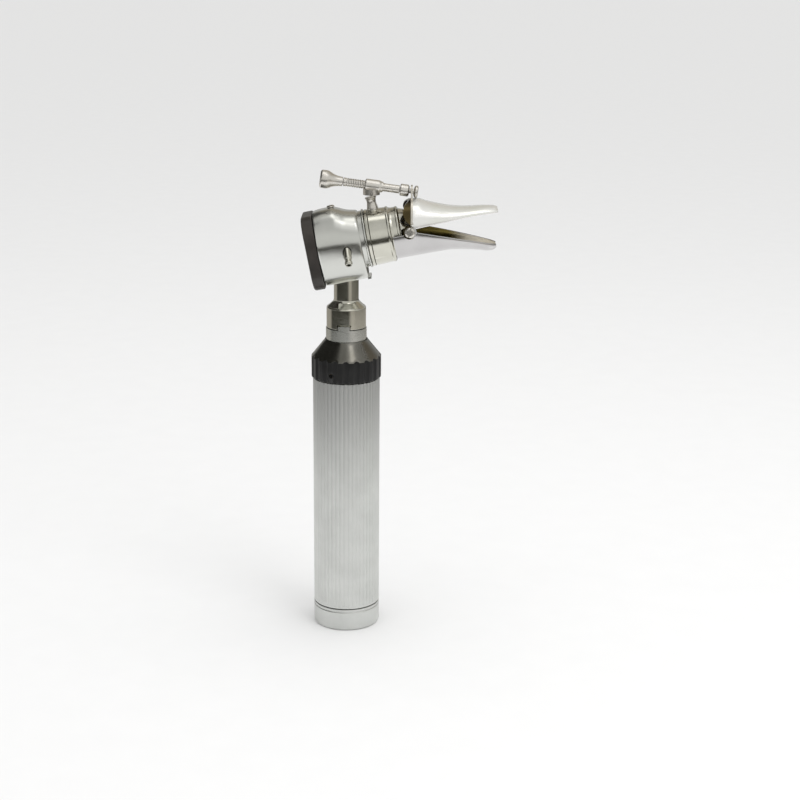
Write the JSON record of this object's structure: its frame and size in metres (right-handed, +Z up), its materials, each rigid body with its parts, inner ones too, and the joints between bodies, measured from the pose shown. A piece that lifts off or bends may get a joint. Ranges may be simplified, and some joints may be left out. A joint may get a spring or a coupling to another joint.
{
  "type": "otoscope",
  "caption": "Battery otoscope with a ribbed handle, dimmer ring, lamp head with a swing-away magnifier, and an expanding speculum opened by an adjusting screw.",
  "frame": {"origin": "centre of the base cap's flat underside", "axes": "+Z up the handle, +X the way the speculum points, +Y across the head"},
  "size_m": [0.0845, 0.0338, 0.206],
  "materials": {
    "satin_tube": "satin, fine longitudinal ribs",
    "chrome": "bright plated",
    "satin_chrome": "satin plated",
    "nickel_steel": "machined, bright",
    "dark_ring": "black band below a polished dark cone",
    "black_frame": "satin black",
    "black_steel": "blackened",
    "brass": "machined",
    "phenolic": "moulded",
    "cell_jacket": "printed sleeve, left plain",
    "spring_steel": "drawn wire",
    "clear_glass": "polished"
  },
  "bodies": {
    "handle": {"handle_tube": "satin_tube", "battery_lower": "cell_jacket", "battery_upper": "cell_jacket", "handle_neck": "chrome", "contact_insulator": "phenolic", "positive_contact": "brass", "rheostat_track": "phenolic", "ring_retainer": "spring_steel", "detent_spring": "spring_steel", "detent_ball": "nickel_steel", "pin_spring": "spring_steel", "pin_insulator": "phenolic"},
    "cap_carrier": {"battery_spring": "spring_steel"},
    "base_cap": {"base_cap": "satin_tube"},
    "dimmer": {"dimmer_ring": "dark_ring", "rheostat_wiper": "brass", "ring_grub_screw": "black_steel"},
    "contact_pin": {"contact_pin": "brass"},
    "head": {"head_sleeve": "chrome", "head_contact_insulator": "phenolic", "head_contact": "brass", "lamp_socket": "brass", "lamp_base": "brass", "lamp_bulb": "clear_glass", "head_housing": "satin_chrome", "front_ring": "chrome", "insufflation_nipple": "chrome", "top_screw": "nickel_steel", "lens_pivot_screw": "nickel_steel"},
    "lens": {"lens_frame": "black_frame", "magnifier_lens": "clear_glass", "lens_retainer": "black_frame"},
    "speculum": {"speculum_body": "chrome", "lower_blade": "chrome", "pivot_screw_near": "nickel_steel", "pivot_screw_far": "nickel_steel", "screw_post": "nickel_steel", "block_pivot_pin": "nickel_steel"},
    "upper_blade": {"upper_blade": "chrome"},
    "swivel_block": {"swivel_block": "nickel_steel"},
    "screw_carrier": {"end_collar": "nickel_steel"},
    "adjusting_screw": {"adjusting_screw": "nickel_steel", "thumb_knob": "nickel_steel", "end_button": "nickel_steel"}
  },
  "joints": [
    {"name": "cap_unscrew", "type": "slide", "parent": "handle", "child": "cap_carrier", "axis": [0, 0, -1], "range_m": [0, 0.0045]},
    {"name": "cap_turn", "type": "hinge", "parent": "cap_carrier", "child": "base_cap", "pos_m": [0, 0, 0], "axis": [0, 0, -1], "range_deg": [0, 1070]},
    {"name": "dimmer_turn", "type": "hinge", "parent": "handle", "child": "dimmer", "pos_m": [0, 0, 0.12], "axis": [0, 0, 1], "range_deg": [0, 270]},
    {"name": "contact_pin_press", "type": "slide", "parent": "handle", "child": "contact_pin", "axis": [0, 0, 1], "range_m": [-0.001, 0], "stiffness_N_per_m": 400, "deforming": ["pin_spring"]},
    {"name": "head_lift", "type": "slide", "parent": "handle", "child": "head", "axis": [0, 0, 1], "range_m": [0, 0.012]},
    {"name": "lens_swing", "type": "hinge", "parent": "head", "child": "lens", "pos_m": [-0.01642, 0, 0.18389], "axis": [0.9816, 0, 0.1908], "range_deg": [0, 110]},
    {"name": "speculum_slide", "type": "slide", "parent": "head", "child": "speculum", "axis": [0.9816, 0, 0.1908], "range_m": [0, 0.012]},
    {"name": "blade_open", "type": "hinge", "parent": "speculum", "child": "upper_blade", "pos_m": [0.02728, 0, 0.18128], "axis": [0, -1, 0], "range_deg": [-19.6, 5.1]},
    {"name": "block_swivel", "type": "hinge", "parent": "speculum", "child": "swivel_block", "pos_m": [0.01091, 0, 0.19629], "axis": [0, -1, 0], "range_deg": [-0.6, 0.2]},
    {"name": "screw_travel", "type": "slide", "parent": "swivel_block", "child": "screw_carrier", "axis": [0.9915, 0, -0.1298], "range_m": [-0.00135, 0.0053]},
    {"name": "knob_turn", "type": "hinge", "parent": "screw_carrier", "child": "adjusting_screw", "pos_m": [0, 0, 0.20071], "axis": [0.9915, 0, -0.1298], "range_deg": [-244, 954.1]}
  ],
  "couplings": [
    {"joint": "cap_unscrew", "follows": "cap_turn", "m_per_rad": 0.00023873},
    {"joint": "knob_turn", "follows": "screw_travel", "rad_per_m": 3141.6},
    {"joint": "blade_open", "follows": "screw_travel", "rad_per_m": -64.166},
    {"joint": "block_swivel", "follows": "screw_travel", "rad_per_m": -1.925}
  ]
}
